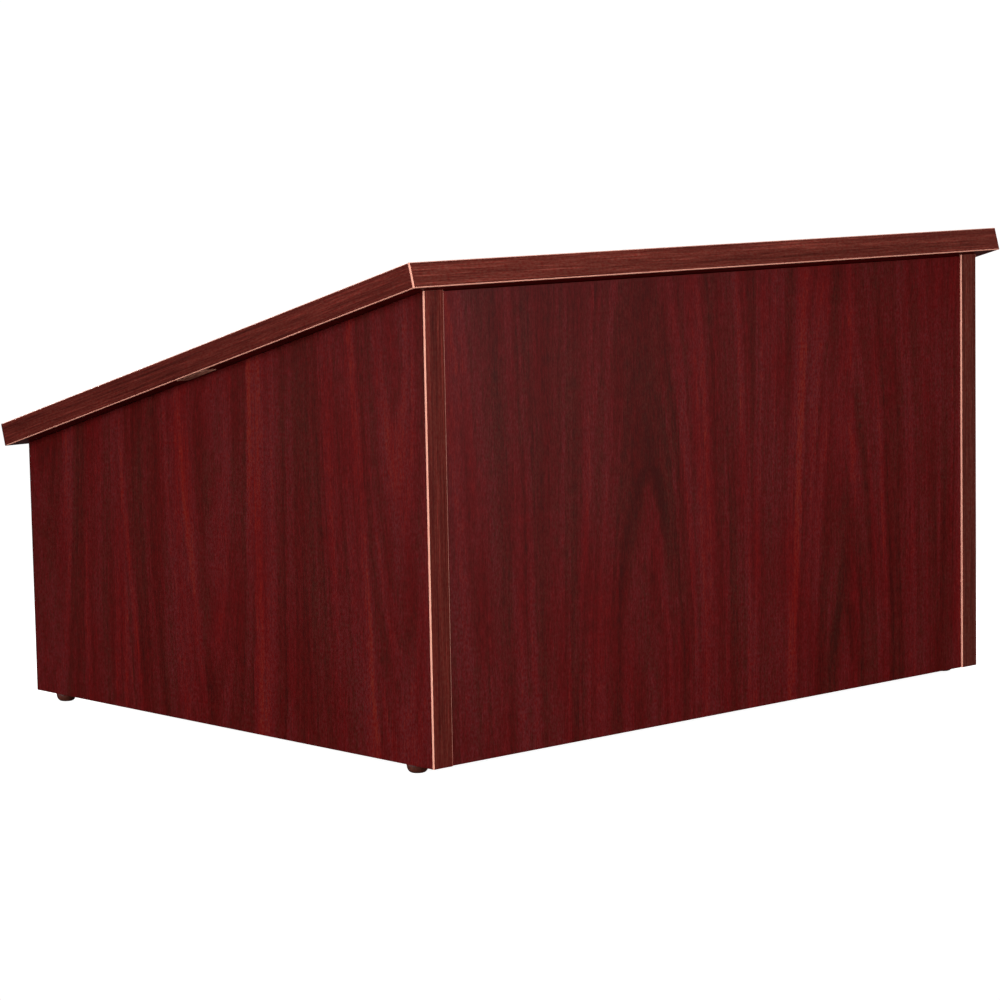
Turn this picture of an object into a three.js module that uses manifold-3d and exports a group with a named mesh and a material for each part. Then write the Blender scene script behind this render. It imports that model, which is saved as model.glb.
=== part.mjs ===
// Tabletop lectern: a box of laminated boards under a sloping reading top.
// Millimetres, +Z up. The audience is on the -Y side and the speaker on the +Y
// side, and left and right are as the audience sees them. The origin is on the
// table, under the middle of the outer box.

import * as THREE from 'three';
import { mergeVertices } from 'three/addons/utils/BufferGeometryUtils.js';
import Module from 'manifold-3d';

const wasm = await Module();
wasm.setup();

// Boards and edge bands
const BOARD = 17.5;          // thickness of every board
const BAND = 1.3;            // thickness of an edge band
const GLUE_LINE = 0.1;       // gap between pieces of the sloping top
const FIT = 0.3;             // gap round fasteners and under the sloping top

// Reading top
const TOP_WIDTH = 603;
const TOP_LENGTH = 505;      // along the slope
const SLOPE = THREE.MathUtils.degToRad(15.5);
const FRONT_OVERHANG = 10;   // past the body on the audience side, level

// Body
const BODY_WIDTH = 569;
const BODY_DEPTH = 470;
const FRONT_HEIGHT = 324;    // side panel at its audience edge
const PANEL_TOP_GAP = 1;     // between the front panel and the sloping top
const SHELF_CLEARANCE = 16;  // from the bottom of the side panels up to the shelf
const SHELF_INSET = 12;      // from the speaker edge of the side panels

// Book stop, on the low end of the reading top
const STOP_LENGTH = 380;
const STOP_DEPTH = 16;
const STOP_HEIGHT = 10;
const STOP_ROUND = 4;        // radius of its two upper edges
const STOP_SETBACK = 14;     // from the low edge of the top
const STOP_SCREWS = 3;
const STOP_SCREW_SPACING = 150;

// Glides
const GLIDE_HEIGHT = 6.4;
const GLIDE_RADIUS = 7.7;
const GLIDE_FLAT_RADIUS = 4.2;
const GLIDE_RIM = 1.3;       // height of the straight rim above the dome
const GLIDE_INSET = 27;      // from the audience and speaker edges of a side panel
const NAIL_RADIUS = 1.1;
const NAIL_TOP = 20;
const NAIL_BOTTOM = 3.5;

// Cam fittings and dowels
const CAM_REACH = 24;        // from the joint to the middle of the disc
const CAM_RADIUS = 7.5;
const CAM_DEPTH = 12.5;
const BOLT_THREAD_RADIUS = 2.4;
const BOLT_THREAD_LENGTH = 11;
const BOLT_COLLAR_RADIUS = 3.6;
const BOLT_HEAD_RADIUS = 3.2;
const BOLT_LENGTH = 26;      // from the joint to the end of the head
const DOWEL_RADIUS = 4;
const DOWEL_IN_FACE = 10;
const DOWEL_IN_EDGE = 20;

// Blank label under the left overhang
const LABEL_LENGTH = 35;
const LABEL_WIDTH = 12;
const LABEL_THICKNESS = 0.15;
const LABEL_FROM_FRONT = 243.5;
const LABEL_FROM_EDGE = 2.4;

const ROUND_SIDES = 10;      // sides of a hidden round piece or hole
const DISC_SIDES = 16;
const GLIDE_SIDES = 20;

// Places worked out from the sizes above
const FOOTPRINT = TOP_LENGTH * Math.cos(SLOPE) + BOARD * Math.sin(SLOPE);
const BODY_FRONT = -FOOTPRINT / 2 + FRONT_OVERHANG;
const BODY_BACK = BODY_FRONT + BODY_DEPTH;
const BODY_BOTTOM = GLIDE_HEIGHT;
const INNER_HALF_WIDTH = BODY_WIDTH / 2 - BOARD;
const SIDE_MIDDLE = BODY_WIDTH / 2 - BOARD / 2;
const PANEL_FRONT = BODY_FRONT + BAND;
const PANEL_BACK = PANEL_FRONT + BOARD;
const SHELF_BOTTOM = BODY_BOTTOM + SHELF_CLEARANCE;
const SHELF_BACK = BODY_BACK - SHELF_INSET;
const SIDES = { left: -1, right: 1 };

const undersideZ = y => BODY_BOTTOM + FRONT_HEIGHT - (y - BODY_FRONT) * Math.tan(SLOPE);

const LAMINATE = { color: 0x551a18, roughness: 0.42, metalness: 0 };
const BANDING = { color: 0x64292a, roughness: 0.38, metalness: 0 };
const BROWN_PLASTIC = { color: 0x4a2a20, roughness: 0.45, metalness: 0 };
const ZINC = { color: 0xb9bcc0, roughness: 0.35, metalness: 1 };
const BEECH = { color: 0xc9a878, roughness: 0.7, metalness: 0 };
const PAPER = { color: 0x9c8f88, roughness: 0.6, metalness: 0 };

const lectern = new THREE.Group();

// The sloping top's own frame: x across, y down the slope from the audience
// edge, z out of the reading surface, with z = 0 on its underside.
const slopingTop = new THREE.Group();
slopingTop.position.set(0, -FOOTPRINT / 2, undersideZ(-FOOTPRINT / 2));
slopingTop.rotation.x = -SLOPE;
slopingTop.updateMatrix();
lectern.add(slopingTop);

function addPiece(parent, name, geometry, finish, place = new THREE.Matrix4()) {
  const mesh = new THREE.Mesh(geometry, new THREE.MeshStandardMaterial(finish));
  mesh.name = name;
  mesh.applyMatrix4(place);
  parent.add(mesh);
}

function solidOf(geometry) {
  const bare = geometry.clone();
  bare.deleteAttribute('normal');
  bare.deleteAttribute('uv');
  const merged = mergeVertices(bare);
  return new wasm.Manifold(new wasm.Mesh({
    numProp: 3,
    vertProperties: merged.attributes.position.array,
    triVerts: new Uint32Array(merged.index.array),
  }));
}

function geometryOf(solid) {
  const mesh = solid.getMesh();
  const geometry = new THREE.BufferGeometry();
  geometry.setAttribute('position', new THREE.BufferAttribute(mesh.vertProperties, 3));
  geometry.setIndex(new THREE.BufferAttribute(mesh.triVerts, 1));
  geometry.computeVertexNormals();
  return geometry;
}

function cutBy(geometry, cutters) {
  const cut = cutters.reduce((solid, cutter) => solid.subtract(solidOf(cutter)), solidOf(geometry));
  return geometryOf(cut);
}

function block(low, high) {
  const size = high.map((value, axis) => value - low[axis]);
  const middle = high.map((value, axis) => (value + low[axis]) / 2);
  return new THREE.BoxGeometry(...size).translate(...middle);
}

// Round pieces and holes along Z, from a profile of [radius, z] points.
function turned(profile, sides = ROUND_SIDES) {
  const points = profile.map(([radius, z]) => new THREE.Vector2(radius, z));
  return new THREE.LatheGeometry(points, sides).rotateX(Math.PI / 2);
}

function rod(radius, from, to, sides = ROUND_SIDES) {
  return new THREE.CylinderGeometry(radius, radius, to - from, sides)
    .rotateX(Math.PI / 2)
    .translate(0, 0, (from + to) / 2);
}

// A board or band that stands on the body's bottom line and is cut along the
// slope, a gap below the sloping top.
function cutToSlope([xFrom, xTo], [yFrom, yTo], gap) {
  const outline = new THREE.Shape([
    new THREE.Vector2(yFrom, BODY_BOTTOM),
    new THREE.Vector2(yTo, BODY_BOTTOM),
    new THREE.Vector2(yTo, undersideZ(yTo) - gap),
    new THREE.Vector2(yFrom, undersideZ(yFrom) - gap),
  ]);
  const yzToWorld = new THREE.Matrix4().makeBasis(
    new THREE.Vector3(0, 1, 0), new THREE.Vector3(0, 0, 1), new THREE.Vector3(1, 0, 0));
  return new THREE.ExtrudeGeometry(outline, { depth: xTo - xFrom, bevelEnabled: false })
    .applyMatrix4(yzToWorld)
    .translate(xFrom, 0, 0);
}

function sidePiece(side, yFrom, yTo) {
  const middle = side * SIDE_MIDDLE;
  return cutToSlope([middle - BOARD / 2, middle + BOARD / 2], [yFrom, yTo], FIT);
}

// The five boards, with the cutters of the holes that their fasteners need.
const boards = {
  reading_top: {
    parent: slopingTop,
    geometry: block(
      [-TOP_WIDTH / 2 + BAND + GLUE_LINE, BAND + GLUE_LINE, 0],
      [TOP_WIDTH / 2 - BAND - GLUE_LINE, TOP_LENGTH - BAND - GLUE_LINE, BOARD]),
    cutters: [],
  },
  side_panel_left: {
    parent: lectern,
    geometry: sidePiece(SIDES.left, PANEL_FRONT, BODY_BACK - BAND),
    cutters: [],
  },
  side_panel_right: {
    parent: lectern,
    geometry: sidePiece(SIDES.right, PANEL_FRONT, BODY_BACK - BAND),
    cutters: [],
  },
  front_panel: {
    parent: lectern,
    geometry: cutToSlope(
      [-INNER_HALF_WIDTH, INNER_HALF_WIDTH], [PANEL_FRONT, PANEL_BACK], PANEL_TOP_GAP),
    cutters: [],
  },
  storage_shelf: {
    parent: lectern,
    geometry: block(
      [-INNER_HALF_WIDTH, PANEL_BACK, SHELF_BOTTOM],
      [INNER_HALF_WIDTH, SHELF_BACK - BAND, SHELF_BOTTOM + BOARD]),
    cutters: [],
  },
};

function cutInto(boardName, cutter, place) {
  const toBoard = boards[boardName].parent.matrix.clone().invert().multiply(place);
  boards[boardName].cutters.push(cutter.applyMatrix4(toBoard));
}

// A joint's frame: z points from the board whose face is drilled into the edge
// of the other board, and x points out of the face that the cam disc is let into.
function jointFrame(origin, discSide, intoEdge) {
  const y = new THREE.Vector3().crossVectors(intoEdge, discSide);
  return new THREE.Matrix4().makeBasis(discSide, y, intoEdge).setPosition(origin);
}

function camBoltGeometry() {
  const neckRadius = 1.9;
  const shankRadius = 3;
  const collarHeight = 1.5;
  const neckFrom = BOLT_LENGTH - 7;
  return turned([
    [0, -BOLT_THREAD_LENGTH],
    [BOLT_THREAD_RADIUS - 1, -BOLT_THREAD_LENGTH],
    [BOLT_THREAD_RADIUS, -BOLT_THREAD_LENGTH + 1.5],
    [BOLT_THREAD_RADIUS, FIT],
    [BOLT_COLLAR_RADIUS, FIT],
    [BOLT_COLLAR_RADIUS, collarHeight],
    [shankRadius, collarHeight],
    [shankRadius, neckFrom],
    [neckRadius, neckFrom + 1],
    [neckRadius, BOLT_LENGTH - 4.5],
    [BOLT_HEAD_RADIUS, BOLT_LENGTH - 3.5],
    [BOLT_HEAD_RADIUS, BOLT_LENGTH - 1],
    [BOLT_HEAD_RADIUS - 1, BOLT_LENGTH],
    [0, BOLT_LENGTH],
  ]);
}

// The disc in the joint's frame: a drum with a throat for the bolt's head and a
// cross recess in its outer face.
function camDiscGeometry() {
  const face = BOARD / 2;
  const throat = BOLT_HEAD_RADIUS + FIT;
  const crossArm = 4.6;
  const crossHalfWidth = 0.9;
  const crossDepth = 2.2;
  const drum = rod(CAM_RADIUS, face - CAM_DEPTH, face, DISC_SIDES)
    .rotateY(Math.PI / 2)
    .translate(0, 0, CAM_REACH);
  return cutBy(drum, [
    block([-throat, -throat, CAM_REACH - CAM_RADIUS - 1], [throat, throat, BOLT_LENGTH + FIT]),
    block(
      [face - crossDepth, -crossArm, CAM_REACH - crossHalfWidth],
      [face + 1, crossArm, CAM_REACH + crossHalfWidth]),
    block(
      [face - crossDepth, -crossHalfWidth, CAM_REACH - crossArm],
      [face + 1, crossHalfWidth, CAM_REACH + crossArm]),
  ]);
}

function addCamJoint(name, faceBoard, edgeBoard, place) {
  const pocket = rod(CAM_RADIUS + FIT, BOARD / 2 - CAM_DEPTH - FIT, BOARD / 2 + 1, DISC_SIDES)
    .rotateY(Math.PI / 2)
    .translate(0, 0, CAM_REACH);
  const threadHole = rod(BOLT_THREAD_RADIUS + FIT, -BOLT_THREAD_LENGTH - FIT, 1);
  cutInto(faceBoard, threadHole, place);
  cutInto(edgeBoard, rod(BOLT_COLLAR_RADIUS + FIT, -1, CAM_REACH), place);
  cutInto(edgeBoard, pocket, place);
  addPiece(lectern, `cam_bolt_${name}`, camBoltGeometry(), ZINC, place);
  addPiece(lectern, `cam_disc_${name}`, camDiscGeometry(), ZINC, place);
}

function addDowel(name, faceBoard, edgeBoard, place) {
  const chamfer = 0.7;
  const from = -DOWEL_IN_FACE;
  const to = DOWEL_IN_EDGE;
  const dowel = turned([
    [0, from],
    [DOWEL_RADIUS - chamfer, from],
    [DOWEL_RADIUS, from + chamfer],
    [DOWEL_RADIUS, to - chamfer],
    [DOWEL_RADIUS - chamfer, to],
    [0, to],
  ]);
  cutInto(faceBoard, rod(DOWEL_RADIUS + FIT, from - FIT, 1), place);
  cutInto(edgeBoard, rod(DOWEL_RADIUS + FIT, -1, to + FIT), place);
  addPiece(lectern, `dowel_${name}`, dowel, BEECH, place);
}

// The front panel is drawn to each side panel by two cams between which two
// dowels keep it level.
function joinFrontPanel(sideName, side) {
  const camHeights = { lower: 50, upper: 270 };
  const dowelHeights = { lower: 110, upper: 210 };
  const place = height => jointFrame(
    new THREE.Vector3(side * INNER_HALF_WIDTH, PANEL_FRONT + BOARD / 2, BODY_BOTTOM + height),
    new THREE.Vector3(0, 1, 0), new THREE.Vector3(-side, 0, 0));
  for (const [level, height] of Object.entries(camHeights)) {
    addCamJoint(`front_${sideName}_${level}`, `side_panel_${sideName}`, 'front_panel', place(height));
  }
  for (const [level, height] of Object.entries(dowelHeights)) {
    addDowel(`front_${sideName}_${level}`, `side_panel_${sideName}`, 'front_panel', place(height));
  }
}

// The shelf hangs between the side panels, with its cams let in from below.
function joinShelf(sideName, side) {
  const camInset = 60;
  const place = y => jointFrame(
    new THREE.Vector3(side * INNER_HALF_WIDTH, y, SHELF_BOTTOM + BOARD / 2),
    new THREE.Vector3(0, 0, -1), new THREE.Vector3(-side, 0, 0));
  const camPlaces = { front: PANEL_BACK + camInset, back: SHELF_BACK - camInset };
  for (const [end, y] of Object.entries(camPlaces)) {
    addCamJoint(`shelf_${sideName}_${end}`, `side_panel_${sideName}`, 'storage_shelf', place(y));
  }
  const middle = (PANEL_BACK + SHELF_BACK) / 2;
  addDowel(`shelf_${sideName}`, `side_panel_${sideName}`, 'storage_shelf', place(middle));
}

// The top is drawn down on the sloping edge of each side panel, with the cams
// let into the panel's inner face.
function joinTop(sideName, side) {
  const camsDownSlope = { front: 85, back: 420 };
  const dowelDownSlope = 250;
  const place = downSlope => slopingTop.matrix.clone().multiply(jointFrame(
    new THREE.Vector3(side * SIDE_MIDDLE, downSlope, 0),
    new THREE.Vector3(-side, 0, 0), new THREE.Vector3(0, 0, -1)));
  for (const [end, downSlope] of Object.entries(camsDownSlope)) {
    addCamJoint(`top_${sideName}_${end}`, 'reading_top', `side_panel_${sideName}`, place(downSlope));
  }
  addDowel(`top_${sideName}`, 'reading_top', `side_panel_${sideName}`, place(dowelDownSlope));
}

function addSideBands(sideName, side) {
  const front = sidePiece(side, BODY_FRONT, PANEL_FRONT);
  const back = sidePiece(side, BODY_BACK - BAND, BODY_BACK);
  addPiece(lectern, `side_${sideName}_front_band`, front, BANDING);
  addPiece(lectern, `side_${sideName}_back_band`, back, BANDING);
}

// A nail-on glide: a flattened dome with a socket for its nail.
function addGlide(sideName, side, end, y) {
  const dome = [];
  const domeHeight = GLIDE_HEIGHT - GLIDE_RIM;
  const domeReach = GLIDE_RADIUS - GLIDE_FLAT_RADIUS;
  const domeSteps = 4;
  for (let step = 0; step <= domeSteps; step += 1) {
    const angle = (step / domeSteps) * (Math.PI / 2);
    dome.push([
      GLIDE_FLAT_RADIUS + domeReach * Math.sin(angle),
      domeHeight * (1 - Math.cos(angle)),
    ]);
  }
  const socketRadius = NAIL_RADIUS + FIT;
  const socketBottom = NAIL_BOTTOM - FIT;
  const glide = turned([
    [0, 0],
    ...dome,
    [GLIDE_RADIUS, GLIDE_HEIGHT],
    [socketRadius, GLIDE_HEIGHT],
    [socketRadius, socketBottom],
    [0, socketBottom],
  ], GLIDE_SIDES);
  const place = new THREE.Matrix4().makeTranslation(side * SIDE_MIDDLE, y, 0);
  cutInto(`side_panel_${sideName}`, rod(socketRadius, GLIDE_HEIGHT - 1, NAIL_TOP + FIT), place);
  addPiece(lectern, `glide_${sideName}_${end}`, glide, BROWN_PLASTIC, place);
  addPiece(lectern, `glide_nail_${sideName}_${end}`, rod(NAIL_RADIUS, NAIL_BOTTOM, NAIL_TOP), ZINC, place);
}

function addTopBands() {
  const halfWidth = TOP_WIDTH / 2;
  const endBand = yFrom => block([-halfWidth, yFrom, 0], [halfWidth, yFrom + BAND, BOARD]);
  const sideBand = xFrom => block(
    [xFrom, BAND + GLUE_LINE, 0],
    [xFrom + BAND, TOP_LENGTH - BAND - GLUE_LINE, BOARD]);
  addPiece(slopingTop, 'top_front_band', endBand(0), BANDING);
  addPiece(slopingTop, 'top_back_band', endBand(TOP_LENGTH - BAND), BANDING);
  addPiece(slopingTop, 'top_left_band', sideBand(-halfWidth), BANDING);
  addPiece(slopingTop, 'top_right_band', sideBand(halfWidth - BAND), BANDING);
}

function addShelfBand() {
  const band = block(
    [-INNER_HALF_WIDTH, SHELF_BACK - BAND, SHELF_BOTTOM],
    [INNER_HALF_WIDTH, SHELF_BACK, SHELF_BOTTOM + BOARD]);
  addPiece(lectern, 'shelf_back_band', band, BANDING);
}

// Countersunk screws come up through the top into the book stop.
function addBookStop() {
  const low = BOARD + GLUE_LINE;
  const high = low + STOP_HEIGHT;
  const far = TOP_LENGTH - STOP_SETBACK;
  const near = far - STOP_DEPTH;
  const section = new THREE.Shape();
  section.moveTo(near, low);
  section.lineTo(far, low);
  section.lineTo(far, high - STOP_ROUND);
  section.absarc(far - STOP_ROUND, high - STOP_ROUND, STOP_ROUND, 0, Math.PI / 2);
  section.absarc(near + STOP_ROUND, high - STOP_ROUND, STOP_ROUND, Math.PI / 2, Math.PI);
  const yzToTop = new THREE.Matrix4().makeBasis(
    new THREE.Vector3(0, 1, 0), new THREE.Vector3(0, 0, 1), new THREE.Vector3(1, 0, 0));
  const bar = new THREE.ExtrudeGeometry(section, {
    depth: STOP_LENGTH, bevelEnabled: false, curveSegments: 5,
  }).applyMatrix4(yzToTop).translate(-STOP_LENGTH / 2, 0, 0);

  const shankRadius = 1.9;
  const headRadius = 3.8;
  const screwTip = BOARD + 7;
  const crossDepth = 1.4;
  const crossArm = 2.2;
  const crossHalfWidth = 0.5;
  const screwBody = turned([
    [0, 0.2], [headRadius, 0.2], [headRadius, 0.6], [shankRadius, 2.9],
    [shankRadius, screwTip - 2], [0, screwTip],
  ], DISC_SIDES);
  const screw = cutBy(screwBody, [
    block([-crossArm, -crossHalfWidth, -1], [crossArm, crossHalfWidth, crossDepth]),
    block([-crossHalfWidth, -crossArm, -1], [crossHalfWidth, crossArm, crossDepth]),
  ]);
  const screwHole = () => turned([
    [0, -1], [headRadius + FIT, -1], [headRadius + FIT, 0.7], [shankRadius + FIT, 3],
    [shankRadius + FIT, screwTip + FIT], [0, screwTip + FIT],
  ]);
  const barCutters = [];
  for (let index = 0; index < STOP_SCREWS; index += 1) {
    const x = (index - (STOP_SCREWS - 1) / 2) * STOP_SCREW_SPACING;
    const place = new THREE.Matrix4().makeTranslation(x, (near + far) / 2, 0);
    boards.reading_top.cutters.push(screwHole().applyMatrix4(place));
    barCutters.push(screwHole().applyMatrix4(place));
    addPiece(slopingTop, `book_stop_screw_${index + 1}`, screw.clone(), ZINC, place);
  }
  addPiece(slopingTop, 'book_stop', cutBy(bar, barCutters), LAMINATE);
}

function addLabel() {
  const left = -TOP_WIDTH / 2 + LABEL_FROM_EDGE;
  const label = block(
    [left, LABEL_FROM_FRONT, -GLUE_LINE - LABEL_THICKNESS],
    [left + LABEL_WIDTH, LABEL_FROM_FRONT + LABEL_LENGTH, -GLUE_LINE]);
  addPiece(slopingTop, 'blank_label', label, PAPER);
}

for (const [sideName, side] of Object.entries(SIDES)) {
  joinFrontPanel(sideName, side);
  joinShelf(sideName, side);
  joinTop(sideName, side);
  addSideBands(sideName, side);
  addGlide(sideName, side, 'front', BODY_FRONT + GLIDE_INSET);
  addGlide(sideName, side, 'back', BODY_BACK - GLIDE_INSET);
}
addTopBands();
addShelfBand();
addBookStop();
addLabel();

for (const [name, board] of Object.entries(boards)) {
  addPiece(board.parent, name, cutBy(board.geometry, board.cutters), LAMINATE);
}

export default lectern;
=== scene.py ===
"""Looks of the tabletop lectern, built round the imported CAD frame.

Metres, +Z up. The audience is on the -Y side and the speaker on the +Y side, and left and
right are as the audience sees them. Every board, band and fitting is a piece of its own that
stands for one CAD node, and all of them ride on the one body, root.
"""

import math

import bmesh
import bpy
from mathutils import Matrix, Vector


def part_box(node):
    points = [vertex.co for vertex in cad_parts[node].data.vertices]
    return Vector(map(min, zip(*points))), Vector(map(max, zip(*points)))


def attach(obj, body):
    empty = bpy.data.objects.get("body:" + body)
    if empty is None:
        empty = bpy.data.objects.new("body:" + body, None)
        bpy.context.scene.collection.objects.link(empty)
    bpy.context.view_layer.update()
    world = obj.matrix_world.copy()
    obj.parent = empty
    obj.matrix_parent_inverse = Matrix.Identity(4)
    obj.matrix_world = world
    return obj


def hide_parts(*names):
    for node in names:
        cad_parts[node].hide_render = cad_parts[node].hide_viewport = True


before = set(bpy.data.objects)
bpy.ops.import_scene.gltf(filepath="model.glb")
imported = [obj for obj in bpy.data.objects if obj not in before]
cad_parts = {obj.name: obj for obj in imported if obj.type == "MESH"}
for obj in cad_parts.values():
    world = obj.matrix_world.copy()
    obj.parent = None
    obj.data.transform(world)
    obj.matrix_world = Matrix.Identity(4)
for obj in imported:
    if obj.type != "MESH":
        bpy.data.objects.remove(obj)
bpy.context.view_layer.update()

MM = 0.001
BODY = "root"

# Sizes that the CAD model is drawn to
BOARD = 17.5 * MM
BAND = 1.3 * MM
SLOPE = math.radians(15.5)
TOP_LENGTH = 505 * MM
GLUE_LINE = 0.1 * MM
BAND_AND_GLUE = BAND + GLUE_LINE
FIT = 0.3 * MM             # gap round a fitting, and under the top
PANEL_TOP_GAP = 1 * MM
CAM_REACH = 24 * MM        # from the face of the joint to the disc's axis
CAM_RADIUS = 7.5 * MM
CAM_DEPTH = 12.5 * MM
BOLT_THREAD_RADIUS = 2.4 * MM
BOLT_THREAD_LENGTH = 11 * MM
BOLT_COLLAR_RADIUS = 3.6 * MM
BOLT_HEAD_RADIUS = 3.2 * MM
BOLT_LENGTH = 26 * MM
DOWEL_RADIUS = 4 * MM
DOWEL_IN_FACE = 10 * MM
DOWEL_IN_EDGE = 20 * MM
STOP_HEIGHT = 10 * MM
STOP_DEPTH = 16 * MM
STOP_SETBACK = 14 * MM
STOP_ROUND = 4 * MM
LABEL_LENGTH = 35 * MM
LABEL_WIDTH = 12 * MM
LABEL_THICKNESS = 0.15 * MM
LABEL_ROUND = 1.2 * MM
LABEL_INSET = 2.4 * MM     # from the left edge of the top
LABEL_START = 243.5 * MM   # from the high edge of the top

X = Vector((1, 0, 0))
Y = Vector((0, 1, 0))
Z = Vector((0, 0, 1))
SIDES = {"left": -1, "right": 1}


# ------------------------ shader nodes


class Shader:
    """One material, and the few node calls that it is made with.

    Inputs may be numbers or sockets."""

    def __init__(self, name):
        self.material = bpy.data.materials.new(name)
        self.material.use_nodes = True
        self.tree = self.material.node_tree
        self.tree.nodes.clear()

    def node(self, kind, inputs=(), **settings):
        made = self.tree.nodes.new(kind)
        for key, value in settings.items():
            setattr(made, key, value)
        for key, value in dict(inputs).items():
            if isinstance(value, bpy.types.NodeSocket):
                self.tree.links.new(value, made.inputs[key])
            else:
                made.inputs[key].default_value = value
        return made

    def math(self, operation, first, second=0.0, third=0.0, clamp=False):
        inputs = {0: first, 1: second, 2: third}
        return self.node("ShaderNodeMath", inputs, operation=operation, use_clamp=clamp).outputs[0]

    def minus(self, first, second):
        return self.math("SUBTRACT", first, second)

    def times(self, first, second):
        return self.math("MULTIPLY", first, second)

    def absolute(self, value):
        return self.math("ABSOLUTE", value)

    def scale_add(self, first, second, third, clamp=False):
        """first * second + third."""
        return self.math("MULTIPLY_ADD", first, second, third, clamp)

    def vary(self, base, noise, amount, clamp=False):
        """The base, moved up and down with a noise whose middle is 0.5."""
        return self.scale_add(self.minus(noise, 0.5), amount, base, clamp)

    def parts(self, vector):
        return self.node("ShaderNodeSeparateXYZ", {0: vector}).outputs

    def grain_point(self):
        """x, y and z of the attribute "grain"."""
        attribute = self.node("ShaderNodeAttribute", attribute_name="grain")
        return self.parts(attribute.outputs["Vector"])

    def object_point(self):
        """x, y and z in the piece's own frame."""
        return self.parts(self.node("ShaderNodeTexCoord").outputs["Object"])

    def vector(self, x, y, z):
        return self.node("ShaderNodeCombineXYZ", {0: x, 1: y, 2: z}).outputs[0]

    def scaled(self, point, scales, shift=0.0):
        """The point (x, y, z) with each coordinate multiplied by its scale, and z shifted."""
        x, y, z = point
        return self.vector(
            self.times(x, scales[0]), self.times(y, scales[1]),
            self.scale_add(z, scales[2], shift))

    def noise(self, point, scales, detail=2.0, roughness=0.5, distortion=0.0, shift=0.0):
        """Noise over a point (x, y, z), whose scales are cycles in a metre."""
        inputs = {
            "Vector": self.scaled(point, scales, shift),
            "Scale": 1.0,
            "Detail": detail,
            "Roughness": roughness,
            "Distortion": distortion,
        }
        return self.node("ShaderNodeTexNoise", inputs).outputs[0]

    def remap(self, value, low, high, to_low=0.0, to_high=1.0):
        inputs = {"Value": value, 1: low, 2: high, 3: to_low, 4: to_high}
        return self.node("ShaderNodeMapRange", inputs, interpolation_type="SMOOTHSTEP").outputs[0]

    def ramp(self, value, *stops):
        """Colours along a value. Stops are (place, red, green, blue) as for srgb."""
        made = self.node("ShaderNodeValToRGB", {0: value})
        elements = made.color_ramp.elements
        while len(elements) < len(stops):
            elements.new(0.5)
        for element, (place, *colour) in zip(elements, stops):
            element.position = place
            element.color = (*srgb(*colour), 1.0)
        return made.outputs[0]

    def mix(self, factor, first, second, blend="MIX"):
        made = self.node("ShaderNodeMix", {"Factor": factor}, data_type="RGBA", blend_type=blend)
        for socket, value in ((made.inputs[6], first), (made.inputs[7], second)):
            if isinstance(value, bpy.types.NodeSocket):
                self.tree.links.new(value, socket)
            else:
                socket.default_value = (*value, 1.0)
        return made.outputs[2]

    def bump(self, height, strength, distance):
        inputs = {"Height": height, "Strength": strength, "Distance": distance}
        return self.node("ShaderNodeBump", inputs).outputs[0]

    def surface(self, colour, roughness, normal, metallic=0.0, specular=0.5):
        inputs = {
            "Base Color": colour,
            "Roughness": roughness,
            "Metallic": metallic,
            "Specular IOR Level": specular,
            "Normal": normal,
        }
        shader = self.node("ShaderNodeBsdfPrincipled", inputs)
        self.node("ShaderNodeOutputMaterial", {"Surface": shader.outputs[0]})
        return self.material


def srgb(red, green, blue):
    """A colour given in 0 to 255 display values, as linear numbers."""
    return tuple(
        value / 12.92 if value <= 0.04045 else ((value + 0.055) / 1.055) ** 2.4
        for value in (red / 255, green / 255, blue / 255)
    )


# ------------------------ materials

# The attribute "grain" holds a point in its piece's own frame, in metres: x across the grain,
# y along it, and z out of the printed face. On a board z is 0 in mid-thickness, and on a band
# z is 0 on the printed face.

FIGURE_PITCH = 0.105     # half the distance between the cathedral figures
WANDER = 0.022           # how far the grain sways from side to side
RING_FRAY = 0.007        # how far fine lines break up the edges of the rings
STREAK_LEVEL = 0.16      # the y at which the x of a streak is given
TIP_BLUR = 0.010         # how softly a dark arch fades in
TIP_RISE = 0.05          # how far above its tip a dark arch still darkens the grain
TIP_LEGS = 0.13          # how far below its tip the legs of a dark arch fade out
PRINT_DEPTH = 0.14 * MM  # thickness of the printed sheet on a board
PRINT_WEAR = 0.16 * MM   # how unevenly the printed sheet is worn off at an arris
CHIP_ROUGHNESS = 0.85


def particleboard(shader, point):
    """Pressed chips: flakes of several browns with dark gaps. Returns colour and height."""
    cells = {"Vector": shader.scaled(point, (420, 300, 640)), "Scale": 1.0}
    flakes = shader.node("ShaderNodeTexVoronoi", cells, feature="F1")
    tone = shader.parts(flakes.outputs["Color"])[0]
    fibre = shader.noise(point, (1500, 900, 1900), 3.0, 0.6)
    shade = shader.scale_add(fibre, 0.5, shader.times(tone, 0.6))
    colour = shader.ramp(shade, (0.15, 96, 66, 38), (0.45, 158, 120, 78), (0.85, 205, 172, 128))
    return colour, shade


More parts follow.
